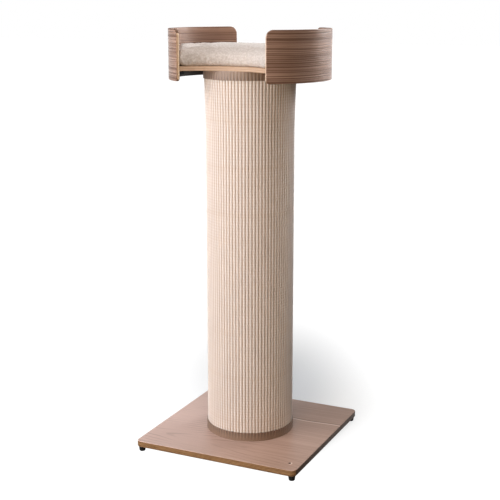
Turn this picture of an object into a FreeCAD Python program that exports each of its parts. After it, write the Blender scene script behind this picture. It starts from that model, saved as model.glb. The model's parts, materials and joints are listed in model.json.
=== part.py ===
import FreeCAD, Part
import math
import os

# Cat scratching tower: a ribbed sisal column on a square plywood base, with an hourglass-shaped
# bed board on top between two bent plywood walls, and a loose cushion that lifts out.
# Millimetres. +Z is up and -Y is the front; the origin is on the floor under the middle of the base.

# Base plate
BASE_SIDE = 500.0
BASE_T = 18.0
BASE_CORNER_R = 16.0
BASE_EASE = 1.5
TOY_HOLE_D = 7.0
TOY_HOLE_SIDE_INSET = 33.0
TOY_HOLE_FRONT_INSET = 44.0

# Rubber feet
FOOT_H = 15.0
FOOT_TOP_D = 21.0
FOOT_BOTTOM_D = 17.0
FOOT_EASE = 1.5
FOOT_INSET = 14.0
FOOT_WEB = 7.0

# Column: card tube, plywood end discs and the ribbed sisal mat
COLUMN_H = 1062.0
SISAL_D = 253.0
SISAL_T = 5.0
RIBS = 84
RIB_DEPTH = 1.6
FLARE = 3.8
FLARE_H = 140.0
TUBE_T = 6.0
DISC_T = 18.0

# Tape bindings round the two ends of the mat
BAND_H = 25.0
BAND_T = 2.0
BAND_RIB_DEPTH = 0.5

# Bed: board, walls and cushion
BOARD_T = 12.0
BOARD_WAIST = 250.0
WALL_INNER_D = 438.0
WALL_T = 10.0
WALL_RISE = 100.0
WALL_SKIRT = 28.0
WALL_GAP_HALF_ANGLE = 35.5
WALL_TOP_R = 20.0
WALL_BOTTOM_R = 10.0
WALL_EASE = 1.0
CUSHION_EDGE_H = 41.0
CUSHION_CROWN = 11.0
CUSHION_CROWN_REACH = 90.0
CUSHION_BELLY_H = 18.0
CUSHION_TUCK = 9.0
CUSHION_ROLL = 22.0
CUSHION_CORNER_R = 22.0
CUSHION_SIDE_GAP = 3.0
CUSHION_FRONT_SETBACK = 2.0
COVER_T = 2.0
WADDING_TOP = 4.0
WADDING_SIDE = 7.0

# Fasteners
BOLT_D = 8.0
BOLT_HEAD_D = 17.0
BOLT_HEAD_H = 2.5
BOLT_KEY = 5.0
BOLT_SINK = 1.5
BOLT_TIP_GAP = 2.0
BOLT_INSET = 33.0
BOLT_COUNT = 4
BOLT_FIRST_ANGLE = 45.0
INSERT_D = 12.0
INSERT_SETBACK = 3.0
SCREW_D = 4.0
SCREW_HEAD_D = 7.6
SCREW_HEAD_H = 2.6
SCREW_COVER = 3.0
BRACKET_W = 22.0
BRACKET_T = 2.0
BRACKET_DROP = 22.0
BRACKET_REACH = 32.0
BRACKET_COUNT = 3
BRACKET_SPREAD = 38.0

# Clearances
GLUE_GAP = 0.2
WOOD_FIT = 0.2
THREAD_FIT = 0.1
HEAD_FIT = 0.5
FOAM_FIT = 0.4

# Heights and radii worked out from the sizes above
Z_BASE = FOOT_H
Z_DECK = Z_BASE + BASE_T
Z_BOARD = Z_DECK + COLUMN_H
Z_BED = Z_BOARD + BOARD_T
Z_WALL = Z_BOARD - WALL_SKIRT
WALL_H = WALL_SKIRT + BOARD_T + WALL_RISE
WALL_INNER_R = WALL_INNER_D / 2
WALL_OUTER_R = WALL_INNER_R + WALL_T
SISAL_R = SISAL_D / 2
TUBE_R = SISAL_R - SISAL_T - GLUE_GAP
DISC_R = TUBE_R - TUBE_T - WOOD_FIT
BOARD_R = WALL_INNER_R - WOOD_FIT
CUSHION_R = WALL_INNER_R - CUSHION_SIDE_GAP
CUSHION_WAIST = BOARD_WAIST - 2 * CUSHION_FRONT_SETBACK
FOAM_INSET = CUSHION_TUCK + WADDING_SIDE
FOOT_RECESS_D = SCREW_HEAD_D + 2 * HEAD_FIT
FOOT_SCREW_BITE = BASE_T - 2 * SCREW_COVER
BOLT_HOLE_D = BOLT_D + 2 * HEAD_FIT
BOLT_RECESS = BOLT_HEAD_H + BOLT_SINK
INSERT_L = DISC_T - INSERT_SETBACK
BRACKET_SCREW_BITE = min(WALL_T, BOARD_T) - SCREW_COVER

# Lengths that differ by less than this count as equal
SAME = 1e-6

UP = FreeCAD.Vector(0, 0, 1)
ORIGIN = FreeCAD.Vector(0, 0, 0)


def at(x, y, z):
    return FreeCAD.Vector(x, y, z)


def polar(radius, degrees, z=0.0):
    """A point at an angle measured from +X towards +Y."""
    angle = math.radians(degrees)
    return at(radius * math.cos(angle), radius * math.sin(angle), z)


def cylinder(diameter, z_low, z_high, centre=ORIGIN):
    return Part.makeCylinder(diameter / 2, z_high - z_low, at(centre.x, centre.y, z_low), UP)


def turned(profile):
    """Revolve a closed (radius, height) outline about the Z axis."""
    points = [at(radius, 0, height) for radius, height in profile]
    wire = Part.makePolygon(points + points[:1])
    return Part.Face(wire).revolve(ORIGIN, UP, 360)


def moved(shape, offset):
    copy = shape.copy()
    copy.translate(offset)
    return copy


def spun(shape, degrees):
    copy = shape.copy()
    copy.rotate(ORIGIN, UP, degrees)
    return copy


def upright_edges(shape):
    """Straight edges that run along Z."""
    found = []
    for edge in shape.Edges:
        start, end = edge.Vertexes[0].Point, edge.Vertexes[-1].Point
        if math.hypot(end.x - start.x, end.y - start.y) < SAME:
            found.append(edge)
    return found


def edges_at_height(shape, z):
    """Edges that lie in the level plane at z."""
    found = []
    for edge in shape.Edges:
        box = edge.BoundBox
        if abs(box.ZMin - z) < SAME and abs(box.ZMax - z) < SAME:
            found.append(edge)
    return found


def cut_all(shape, tools):
    return shape.cut(Part.makeCompound(tools))


# Fasteners, each modelled pointing up +Z with the underside of its head at z = 0


def flat_bolt(length):
    """Furniture bolt: a wide flat head below z = 0 with a hexagon key socket, the shank up."""
    shank = Part.makeCylinder(BOLT_D / 2 - THREAD_FIT, length)
    head = Part.makeCylinder(BOLT_HEAD_D / 2, BOLT_HEAD_H, at(0, 0, -BOLT_HEAD_H))
    corner = BOLT_KEY / math.sqrt(3)
    hexagon = [polar(corner, 60 * side, -BOLT_HEAD_H) for side in range(7)]
    socket = Part.Face(Part.makePolygon(hexagon)).extrude(UP * 2 * BOLT_HEAD_H)
    return head.fuse(shank).removeSplitter().cut(socket)


def wood_screw(length):
    """Flat-topped screw: the head is below z = 0 and the shank points up."""
    head = Part.makeCylinder(SCREW_HEAD_D / 2, SCREW_HEAD_H, at(0, 0, -SCREW_HEAD_H))
    return head.fuse(Part.makeCylinder(SCREW_D / 2, length)).removeSplitter()


def pilot(length):
    """The hole that a screw of this length leaves, with its thread clearance."""
    return Part.makeCylinder(SCREW_D / 2 + THREAD_FIT, length + THREAD_FIT)


def threaded_insert():
    """Sleeve with the bolt's bore, its face at z = 0 and its barrel pointing up."""
    return Part.makeCylinder(INSERT_D / 2, INSERT_L).cut(Part.makeCylinder(BOLT_D / 2, INSERT_L))


def flipped(shape):
    """The same piece pointing down instead of up."""
    copy = shape.copy()
    copy.rotate(ORIGIN, at(1, 0, 0), 180)
    return copy


# Where the pieces repeat

FOOT_SPAN = BASE_SIDE / 2 - FOOT_INSET
FOOT_PLACES = {
    "foot_front_left": at(-FOOT_SPAN, -FOOT_SPAN, 0),
    "foot_front_right": at(FOOT_SPAN, -FOOT_SPAN, 0),
    "foot_rear_left": at(-FOOT_SPAN, FOOT_SPAN, 0),
    "foot_rear_right": at(FOOT_SPAN, FOOT_SPAN, 0),
}
BOLT_ANGLES = [BOLT_FIRST_ANGLE + 360 * i / BOLT_COUNT for i in range(BOLT_COUNT)]
BOLT_PLACES = [polar(DISC_R - BOLT_INSET, angle) for angle in BOLT_ANGLES]
TOY_HOLE_PLACE = at(BASE_SIDE / 2 - TOY_HOLE_SIDE_INSET, TOY_HOLE_FRONT_INSET - BASE_SIDE / 2, 0)
BRACKET_TURNS = [
    side + BRACKET_SPREAD * (i - (BRACKET_COUNT - 1) / 2)
    for side in (0, 180)
    for i in range(BRACKET_COUNT)
]


def base_plate():
    """Veneered plywood square with eased edges, bolt recesses below and one toy hole."""
    half = BASE_SIDE / 2
    plate = Part.makeBox(BASE_SIDE, BASE_SIDE, BASE_T, at(-half, -half, Z_BASE))
    plate = plate.makeFillet(BASE_CORNER_R, upright_edges(plate))
    rims = edges_at_height(plate, Z_BASE) + edges_at_height(plate, Z_DECK)
    plate = plate.makeChamfer(BASE_EASE, rims)
    holes = [cylinder(TOY_HOLE_D, Z_BASE, Z_DECK, TOY_HOLE_PLACE)]
    for place in FOOT_PLACES.values():
        holes.append(moved(pilot(FOOT_SCREW_BITE), place + UP * Z_BASE))
    for place in BOLT_PLACES:
        holes.append(cylinder(BOLT_HOLE_D, Z_BASE, Z_DECK, place))
        holes.append(cylinder(BOLT_HEAD_D + 2 * HEAD_FIT, Z_BASE, Z_BASE + BOLT_RECESS, place))
    return cut_all(plate, holes)


def foot():
    """Tapered rubber foot with a recess that hides its screw head."""
    foot_r, toe_r = FOOT_TOP_D / 2, FOOT_BOTTOM_D / 2
    recess_r = FOOT_RECESS_D / 2
    hole_r = SCREW_D / 2 + WOOD_FIT
    seat = FOOT_H - FOOT_WEB
    return turned([
        (recess_r, 0),
        (toe_r - FOOT_EASE, 0),
        (toe_r, FOOT_EASE),
        (foot_r, FOOT_H),
        (hole_r, FOOT_H),
        (hole_r, seat),
        (recess_r, seat),
    ])


def foot_screws():
    screw = wood_screw(FOOT_WEB + FOOT_SCREW_BITE)
    return [moved(screw, place + UP * (FOOT_H - FOOT_WEB)) for place in FOOT_PLACES.values()]


def base_bolts():
    """From below the base, up into the bottom disc's inserts."""
    bolt = flat_bolt(BASE_T - BOLT_RECESS + DISC_T - BOLT_TIP_GAP)
    return [moved(bolt, place + UP * (Z_BASE + BOLT_RECESS)) for place in BOLT_PLACES]


def platform_bolts():
    """From the top of the bed board, down into the top disc's inserts."""
    bolt = flipped(flat_bolt(BOARD_T - BOLT_RECESS + DISC_T - BOLT_TIP_GAP))
    return [moved(bolt, place + UP * (Z_BED - BOLT_RECESS)) for place in BOLT_PLACES]


def end_disc(z_low):
    """Plywood plug glued into one end of the tube, drilled through for the inserts."""
    z_high = z_low + DISC_T
    holes = [cylinder(INSERT_D + 2 * THREAD_FIT, z_low, z_high, place) for place in BOLT_PLACES]
    return cut_all(cylinder(2 * DISC_R, z_low, z_high), holes)


def inserts(z_low):
    return [moved(threaded_insert(), place + UP * z_low) for place in BOLT_PLACES]


def column_tube():
    """Card tube that carries the mat and the load between the two discs."""
    tube = cylinder(2 * TUBE_R, Z_DECK, Z_BOARD)
    bore = cylinder(2 * (TUBE_R - TUBE_T), Z_DECK, Z_BOARD)
    return tube.cut(bore)


def scalloped(crest_r, depth, z):
    """Closed outline of RIBS round cords side by side, with a sharp valley between each two."""
    step = 360 / RIBS
    arcs = []
    for i in range(RIBS):
        start = polar(crest_r - depth, (i - 0.5) * step, z)
        crest = polar(crest_r, i * step, z)
        end = polar(crest_r - depth, (i + 0.5) * step, z)
        arcs.append(Part.Arc(start, crest, end).toShape())
    return Part.Wire(arcs)


def sisal_sleeve():
    """The ribbed mat: straight, then spreading a little up to the top binding."""
    spread_end = Z_BOARD - BAND_H
    rings = [
        scalloped(SISAL_R, RIB_DEPTH, Z_DECK),
        scalloped(SISAL_R, RIB_DEPTH, spread_end - FLARE_H),
        scalloped(SISAL_R + FLARE, RIB_DEPTH, spread_end),
        scalloped(SISAL_R + FLARE, RIB_DEPTH, Z_BOARD),
    ]
    mat = Part.makeLoft(rings, True, True)
    return mat.cut(cylinder(2 * (TUBE_R + GLUE_GAP), Z_DECK, Z_BOARD))


def binding(mat_r, z_low):
    """Tape wound tight round the mat, so the ribs show through it faintly."""
    inner_r = mat_r + GLUE_GAP
    outline = scalloped(inner_r + BAND_T, BAND_RIB_DEPTH, z_low)
    tape = Part.Face(outline).extrude(UP * BAND_H)
    return tape.cut(cylinder(2 * inner_r, z_low, z_low + BAND_H))


def scoop(radius, waist):
    """Radius and centre distance of the hollow arc that runs from wall to wall."""
    half_angle = math.radians(WALL_GAP_HALF_ANGLE)
    half_width, corner_y = radius * math.sin(half_angle), radius * math.cos(half_angle)
    dip = corner_y - waist / 2
    scoop_r = (half_width ** 2 + dip ** 2) / (2 * dip)
    return scoop_r, waist / 2 + scoop_r


def meeting_point(radius, scoop_r, scoop_d):
    """Where a circle about the origin meets the front scoop's circle, on the right-hand side."""
    y = (scoop_r ** 2 - radius ** 2 - scoop_d ** 2) / (2 * scoop_d)
    return math.sqrt(radius ** 2 - y ** 2), y


def hourglass(radius, waist, z, inset=0.0, corner_r=0.0):
    """Round plan with a hollow front and rear, drawn in by inset, its four corners rounded."""
    scoop_r, scoop_d = scoop(radius, waist)
    side_r, hollow_r = radius - inset, scoop_r + inset
    corner_x, corner_y = meeting_point(side_r - corner_r, hollow_r + corner_r, scoop_d)
    outward = side_r / (side_r - corner_r)
    side_x, side_y = corner_x * outward, corner_y * outward
    inward = hollow_r / (hollow_r + corner_r)
    hollow_x, hollow_y = corner_x * inward, (corner_y + scoop_d) * inward - scoop_d
    nose_x, nose_y = (side_x + hollow_x) / 2 - corner_x, (side_y + hollow_y) / 2 - corner_y
    nose = corner_r / math.hypot(nose_x, nose_y) if corner_r else 0.0
    tip_x, tip_y = corner_x + nose_x * nose, corner_y + nose_y * nose
    half_loop = [[(side_x, side_y), (side_r, 0), (side_x, -side_y)]]
    if corner_r:
        half_loop.append([(side_x, -side_y), (tip_x, -tip_y), (hollow_x, -hollow_y)])
    half_loop.append([(hollow_x, -hollow_y), (0, scoop_d - hollow_r), (-hollow_x, -hollow_y)])
    if corner_r:
        half_loop.append([(-hollow_x, -hollow_y), (-tip_x, -tip_y), (-side_x, -side_y)])
    edges = []
    for turn in (1, -1):
        for arc in half_loop:
            edges.append(Part.Arc(*[at(turn * x, turn * y, z) for x, y in arc]).toShape())
    return Part.Wire(edges)


def bracket_frame(turn):
    """Frame at a bracket's bend: +X out to the wall, +Z up to the board."""
    wall_flat = math.sqrt((WALL_INNER_R - GLUE_GAP) ** 2 - (BRACKET_W / 2) ** 2)
    return FreeCAD.Placement(polar(wall_flat, turn, Z_BOARD), FreeCAD.Rotation(UP, turn))


def placed(shape, frame):
    copy = shape.copy()
    copy.Placement = frame.multiply(copy.Placement)
    return copy


def bracket_screw_frames(turn):
    """One screw out into the wall and one up into the board."""
    bend = bracket_frame(turn)
    wall = at(-BRACKET_T, 0, -(BRACKET_DROP + BRACKET_T) / 2)
    board = at(-(BRACKET_REACH + BRACKET_T) / 2, 0, -BRACKET_T)
    outwards = FreeCAD.Placement(wall, FreeCAD.Rotation(at(0, 1, 0), 90))
    upwards = FreeCAD.Placement(board, FreeCAD.Rotation())
    return [bend.multiply(outwards), bend.multiply(upwards)]


BRACKET_SCREW_FRAMES = [frame for turn in BRACKET_TURNS for frame in bracket_screw_frames(turn)]


def bracket_screws():
    screw = wood_screw(BRACKET_T + BRACKET_SCREW_BITE)
    return [placed(screw, frame) for frame in BRACKET_SCREW_FRAMES]


def bracket_screw_holes():
    hole = pilot(BRACKET_T + BRACKET_SCREW_BITE)
    return [placed(hole, frame) for frame in BRACKET_SCREW_FRAMES]


def wall_brackets():
    """Steel angles under the board, hidden behind the walls' skirts."""
    outline = Part.makePolygon([
        at(0, 0, 0),
        at(-BRACKET_REACH, 0, 0),
        at(-BRACKET_REACH, 0, -BRACKET_T),
        at(-BRACKET_T, 0, -BRACKET_T),
        at(-BRACKET_T, 0, -BRACKET_DROP),
        at(0, 0, -BRACKET_DROP),
        at(0, 0, 0),
    ])
    angle = Part.Face(outline).extrude(at(0, BRACKET_W, 0))
    angle.translate(at(0, -BRACKET_W / 2, 0))
    return [cut_all(placed(angle, bracket_frame(turn)), bracket_screw_holes()) for turn in BRACKET_TURNS]


def platform_board():
    """Hourglass plywood board with recessed bolt holes under the cushion."""
    board = Part.Face(hourglass(BOARD_R, BOARD_WAIST, Z_BOARD)).extrude(UP * BOARD_T)
    holes = bracket_screw_holes()
    for place in BOLT_PLACES:
        holes.append(cylinder(BOLT_HOLE_D, Z_BOARD, Z_BED, place))
        holes.append(cylinder(BOLT_HEAD_D + 2 * HEAD_FIT, Z_BED - BOLT_RECESS, Z_BED, place))
    return cut_all(board, holes)


def bent_wall(middle):
    """One bent plywood wall, centred on an angle, with rounded ends and eased edges."""
    sweep = 180 - 2 * WALL_GAP_HALF_ANGLE
    section = Part.makePolygon([
        at(WALL_INNER_R, 0, Z_WALL),
        at(WALL_OUTER_R, 0, Z_WALL),
        at(WALL_OUTER_R, 0, Z_WALL + WALL_H),
        at(WALL_INNER_R, 0, Z_WALL + WALL_H),
        at(WALL_INNER_R, 0, Z_WALL),
    ])
    wall = Part.Face(section).revolve(ORIGIN, UP, sweep)
    for z, corner_r in ((Z_WALL, WALL_BOTTOM_R), (Z_WALL + WALL_H, WALL_TOP_R)):
        radial = [edge for edge in edges_at_height(wall, z) if abs(edge.Length - WALL_T) < SAME]
        wall = wall.makeFillet(corner_r, radial)
    rims = [edge for edge in wall.Edges if abs(edge.Length - WALL_T) > SAME]
    wall = wall.makeChamfer(WALL_EASE, rims)
    return cut_all(spun(wall, middle - sweep / 2), bracket_screw_holes())


def cushion_profile():
    """(height, inset) up the side: tucked in below, a full belly, a rolled edge and a domed top."""
    rings = []
    for angle in (-90, -60, -30, 0):
        swing = math.radians(angle)
        rings.append((CUSHION_BELLY_H * (1 + math.sin(swing)), CUSHION_TUCK * (1 - math.cos(swing))))
    for angle in (25, 45, 65):
        swing = math.radians(angle)
        rise = (CUSHION_EDGE_H - CUSHION_BELLY_H) * math.sin(swing)
        rings.append((CUSHION_BELLY_H + rise, CUSHION_ROLL * (1 - math.cos(swing))))
    for share in (0, 0.25, 0.55, 1):
        dome = CUSHION_CROWN * (1 - (1 - share) ** 2)
        reach = CUSHION_ROLL + share * (CUSHION_CROWN_REACH - CUSHION_ROLL)
        rings.append((CUSHION_EDGE_H + dome, reach))
    return rings


def foam_slab(clearance):
    """Flat hourglass slab inside the padding, drawn in all round by a clearance."""
    low = Z_BED + COVER_T + clearance
    high = Z_BED + CUSHION_EDGE_H - WADDING_TOP - clearance
    outline = hourglass(CUSHION_R, CUSHION_WAIST, low, FOAM_INSET + clearance, CUSHION_CORNER_R)
    return Part.Face(outline).extrude(UP * (high - low))


def cushion_foam():
    return foam_slab(FOAM_FIT)


def cushion_cover():
    """Padded cover: the crowned outside, hollowed to take the foam slab."""
    rings = [hourglass(CUSHION_R, CUSHION_WAIST, Z_BED + height, inset, CUSHION_CORNER_R)
             for height, inset in cushion_profile()]
    return Part.makeLoft(rings, True, True).cut(foam_slab(0))


def build():
    pieces = {
        "base_plate": base_plate(),
        "foot_screws": foot_screws(),
        "base_bolts": base_bolts(),
        "bottom_disc": end_disc(Z_DECK),
        "base_inserts": inserts(Z_DECK + DISC_T - INSERT_L),
        "column_tube": column_tube(),
        "top_disc": end_disc(Z_BOARD - DISC_T),
        "platform_inserts": inserts(Z_BOARD - DISC_T),
        "sisal_sleeve": sisal_sleeve(),
        "bottom_binding": binding(SISAL_R, Z_DECK),
        "top_binding": binding(SISAL_R + FLARE, Z_BOARD - BAND_H),
        "platform_board": platform_board(),
        "platform_bolts": platform_bolts(),
        "right_wall": bent_wall(0),
        "left_wall": bent_wall(180),
        "wall_brackets": wall_brackets(),
        "bracket_screws": bracket_screws(),
        "cushion_cover": cushion_cover(),
        "cushion_foam": cushion_foam(),
    }
    for name, place in FOOT_PLACES.items():
        pieces[name] = moved(foot(), place)
    return pieces


os.makedirs("parts", exist_ok=True)
for name, piece in build().items():
    shape = Part.makeCompound(piece) if isinstance(piece, list) else piece
    shape.exportStep(os.path.join("parts", name + ".step"))
    volume = round(shape.Volume / 1000, 1)
    print(name, len(shape.Solids), "solid(s),", volume, "cm3, valid", shape.isValid())
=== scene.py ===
# %% [markdown]
# # A cat scratching tower
# A tall column, wrapped in ribbed sisal, stands on a square plywood base and carries a small bed: a
# scooped board between two bent plywood walls, with a loose boucle cushion on it. The construction
# comes from a CAD model, which is loaded first as a fixed frame. This lesson weaves the mat, stuffs
# the cushion, gives every part its finish and sets up a bright studio round it.

# %% Load the frame
import json
import math

import bpy
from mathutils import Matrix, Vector

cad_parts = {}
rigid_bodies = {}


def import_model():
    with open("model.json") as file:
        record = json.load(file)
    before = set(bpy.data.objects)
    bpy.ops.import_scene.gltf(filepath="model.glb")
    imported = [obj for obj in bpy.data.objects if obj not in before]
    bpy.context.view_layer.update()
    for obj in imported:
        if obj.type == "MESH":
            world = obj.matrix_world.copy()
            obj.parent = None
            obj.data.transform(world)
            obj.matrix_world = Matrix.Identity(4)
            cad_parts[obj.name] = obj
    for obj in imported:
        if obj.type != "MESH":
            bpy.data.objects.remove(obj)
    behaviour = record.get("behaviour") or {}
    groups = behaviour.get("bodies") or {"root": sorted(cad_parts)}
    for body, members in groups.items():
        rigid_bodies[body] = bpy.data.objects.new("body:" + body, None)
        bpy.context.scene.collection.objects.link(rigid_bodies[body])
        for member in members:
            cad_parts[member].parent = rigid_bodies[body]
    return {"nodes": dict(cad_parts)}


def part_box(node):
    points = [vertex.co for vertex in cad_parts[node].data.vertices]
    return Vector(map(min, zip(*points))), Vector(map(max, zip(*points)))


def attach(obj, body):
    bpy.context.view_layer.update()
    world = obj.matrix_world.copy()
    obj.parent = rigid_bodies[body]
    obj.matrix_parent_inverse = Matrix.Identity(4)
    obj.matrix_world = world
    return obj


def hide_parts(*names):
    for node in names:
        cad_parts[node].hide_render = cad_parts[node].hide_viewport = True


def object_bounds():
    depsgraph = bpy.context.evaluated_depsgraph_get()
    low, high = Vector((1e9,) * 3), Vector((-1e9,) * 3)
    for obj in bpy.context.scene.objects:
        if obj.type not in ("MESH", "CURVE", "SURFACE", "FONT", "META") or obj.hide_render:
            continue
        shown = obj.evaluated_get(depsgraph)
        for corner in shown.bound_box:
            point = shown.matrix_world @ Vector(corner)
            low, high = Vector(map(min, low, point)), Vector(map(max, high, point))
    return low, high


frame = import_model()
cad_low, cad_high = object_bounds()
nodes = frame["nodes"]
scene = bpy.context.scene
bpy.ops.object.select_all(action="DESELECT")
print("CAD nodes:", len(nodes), "height:", round(cad_high.z, 3), "m")

# %% [markdown]
# ## Camera
# The photograph is taken from the front and the right, a little above the bed, with a long lens, so
# the upright lines stay nearly parallel. The place and the turn of the camera are typed in as a
# photographer would note them. A small downward shift of the lens keeps the column upright in the
# picture without tilting the camera further.

# %% Camera
CAMERA_PLACE = (1.2845, -2.7446, 1.2732)
CAMERA_AZIMUTH = 25.09
CAMERA_DIP = 11.95
CAMERA_LENS = 76.96
CAMERA_SHIFT = -0.04

turn = (math.radians(90 - CAMERA_DIP), 0, math.radians(CAMERA_AZIMUTH))
bpy.ops.object.camera_add(location=CAMERA_PLACE, rotation=turn)
camera = bpy.context.object
camera.data.lens = CAMERA_LENS
camera.data.shift_y = CAMERA_SHIFT
scene.camera = camera
print("Camera", round(math.hypot(*CAMERA_PLACE[:2]), 2), "m from the column")

# %% [markdown]
# ## Shader sums in plain Python
# A finish is a small calculation: how far a point is from the column's axis, how the grain wavers,
# which layer of the plywood shows. Nodes can do it, but long chains of them are hard to read. So a
# Signal wraps the output of a node, and sums on signals add Math nodes behind the scenes. A Paint is
# one board of nodes, with a single method that adds any other node.

# %% Signal and Paint


class Signal:
    """One output of a node. Sums on signals add Math nodes."""

    def __init__(self, paint, socket):
        self.paint = paint
        self.socket = socket

    def math(self, operation, first, second=0.0):
        return self.paint.node("Math", {"operation": operation}, {0: first, 1: second})

    def __add__(self, other):
        return self.math("ADD", self, other)

    def __sub__(self, other):
        return self.math("SUBTRACT", self, other)

    def __rsub__(self, other):
        return self.math("SUBTRACT", other, self)

    def __mul__(self, other):
        return self.math("MULTIPLY", self, other)

    def __truediv__(self, other):
        return self.math("DIVIDE", self, other)

    def __pow__(self, power):
        return self.math("POWER", self, power)

    def __abs__(self):
        return self.math("ABSOLUTE", self)

    __radd__ = __add__
    __rmul__ = __mul__


class Paint:
    """The nodes of a material or a world, with one method that adds any node to them."""

    def __init__(self, owner):
        owner.use_nodes = True
        self.owner = owner
        self.tree = owner.node_tree

    def node(self, kind, settings=None, sockets=None, out=0):
        made = self.tree.nodes.new("ShaderNode" + kind)
        for name, value in (settings or {}).items():
            setattr(made, name, value)
        for name, value in (sockets or {}).items():
            self.feed(made.inputs[name], value)
        return Signal(self, made.outputs[out])

    def feed(self, socket, value):
        if isinstance(value, Signal):
            self.tree.links.new(value.socket, socket)
        else:
            socket.default_value = value


def new_paint(name, **plain):
    """A new material, with the numbers that are the same all over it set on its shader."""
    paint = Paint(bpy.data.materials.new(name))
    shader = paint.tree.nodes["Principled BSDF"]
    for words, value in plain.items():
        shader.inputs[words.replace("_", " ").title().replace("Ior", "IOR")].default_value = value
    return paint


def wear(paint, colour, roughness, normal, coat=0.0):
    """Join the finished colour, roughness and bump to the shader, and give the material."""
    shader = paint.tree.nodes["Principled BSDF"]
    paint.feed(shader.inputs["Base Color"], colour)
    paint.feed(shader.inputs["Roughness"], roughness)
    paint.feed(shader.inputs["Normal"], normal)
    paint.feed(shader.inputs["Coat Weight"], coat)
    print("Finish", paint.owner.name, "has", len(paint.tree.nodes), "nodes")
    return paint.owner


# %% [markdown]
# ## Words for the finishes
# Every finish below is told in the same few words: the place of a point in metres, a noise, a soft
# step from 0 to 1, a mix of two colours and a bump. Colours are written the way a paint chart gives
# them, from 0 to 255, and turned into the linear numbers that the renderer wants.

# %% Words for the finishes


def tint(red, green, blue):
    """A colour from a paint chart as linear red, green, blue and alpha."""
    parts = [c / 255 for c in (red, green, blue)]
    linear = [c / 12.92 if c <= 0.04045 else ((c + 0.055) / 1.055) ** 2.4 for c in parts]
    return (*linear, 1.0)


def place_of(paint):
    """The x, y and z of a point on the piece, in metres."""
    place = paint.node("TexCoord", out="Object")
    return [paint.node("SeparateXYZ", None, {0: place}, axis) for axis in range(3)]


def point(paint, x, y, z):
    return paint.node("CombineXYZ", None, {0: x, 1: y, 2: z})


def noise(paint, vector, scale=1.0, detail=2.0, roughness=0.5, warp=0.0):
    sockets = {
        "Vector": vector,
        "Scale": scale,
        "Detail": detail,
        "Roughness": roughness,
        "Distortion": warp,
    }
    return paint.node("TexNoise", None, sockets)


def step(paint, value, low, high):
    """0 below low, 1 above high and a soft slope between."""
    sockets = {"Value": value, "From Min": low, "From Max": high}
    return paint.node("MapRange", {"interpolation_type": "SMOOTHSTEP"}, sockets)


def mix(paint, share, first, second):
    return paint.node("Mix", {"data_type": "RGBA"}, {0: share, 6: first, 7: second}, 2)


def bump(paint, height, distance, strength=1.0):
    return paint.node("Bump", None, {"Strength": strength, "Distance": distance, "Height": height})


def wave(paint, value, length):
    """A smooth ripple between 0 and 1 that repeats after a length."""
    swing = paint.node("Math", {"operation": "SINE"}, {0: value * (2 * math.pi / length)})
    return swing * 0.5 + 0.5


def turn_round(paint, x, y):
    """The angle of a point round the column, in radians."""
    return paint.node("Math", {"operation": "ARCTAN2"}, {0: y, 1: x})


def paint_nodes(material, *names):
    """Put a finish on CAD parts."""
    for name in names:
        nodes[name].data.materials[0] = material


# %% [markdown]
# ## A studio
# A large soft light, slightly cool, stands in front and to the left, so the right side of every round
# form falls into shade. A high one above the camera lights the cushion and the base and lays their
# shadow straight back. A smaller warm one in front opens the shade. Behind the tower, a light with a
# narrow beam reaches into the bed, and a faint one draws the column's right edge. Spot lamps would
# give hard shadows, so each is an area light: its size is what makes a shadow soft.

# %% Lights
WARM = (1.0, 0.80, 0.57)
NEUTRAL = (1.0, 0.995, 1.0)
COOL = (0.96, 0.995, 1.05)
BED_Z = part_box("platform_board")[1][2]
COLUMN_AIM = 0.6
COLUMN_Z = cad_high.z * COLUMN_AIM
LIGHTS = (
    # name, azimuth, distance, height, width, aimed at, spread, watts, colour
    ("key_light", -38.0, 1.95, 1.45, 1.8, COLUMN_Z, 180.0, 50.0, COOL),
    ("top_light", 20.0, 1.8, 4.5, 1.6, COLUMN_Z, 180.0, 38.0, NEUTRAL),
    ("fill_light", 8.0, 2.4, 1.2, 0.7, COLUMN_Z, 180.0, 19.0, WARM),
    ("bed_light", 148.0, 1.6, 1.75, 1.0, BED_Z, 60.0, 8.5, NEUTRAL),
    ("edge_light", 138.0, 2.3, 1.1, 0.8, COLUMN_Z, 180.0, 1.5, WARM),
)

scene.view_settings.view_transform = "Standard"


def add_light(name, azimuth, distance, height, width, aim_z, spread, watts, colour):
    """A square studio light that faces a point on the tower's axis."""
    around = math.radians(azimuth)
    place = Vector((distance * math.sin(around), -distance * math.cos(around), height))
    aim = Vector((0, 0, aim_z))
    bpy.ops.object.light_add(type="AREA", location=place)
    light = bpy.context.object
    light.name = name
    light.rotation_euler = (aim - place).to_track_quat("-Z", "Y").to_euler()
    light.data.size = width
    light.data.spread = math.radians(spread)
    light.data.energy = watts
    light.data.color = colour
    print(name, watts, "W at", [round(c, 2) for c in place])


for settings in LIGHTS:
    add_light(*settings)

# %% [markdown]
# ## The room
# The world is the room. It lights the object softly, most of all from above, and it is white wherever
# it is seen: straight from the camera, and behind the object in reflections, where a studio has its
# backdrop. In front, where the room is dark, reflections stay dim and the wood keeps its colour.

# %% World
FILL_SIDE = 0.05
FILL_TOP = 0.24
FILL_COLOUR = (1.0, 0.89, 0.76, 1.0)
WHITE = (1.0, 1.0, 1.0, 1.0)
BACKDROP_START = 0.56
BACKDROP_FULL = 0.80


def ray(paint, kind):
    """1 for rays of one kind, such as Camera, Glossy or Transmission."""
    return paint.node("LightPath", out="Is " + kind + " Ray")


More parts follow.
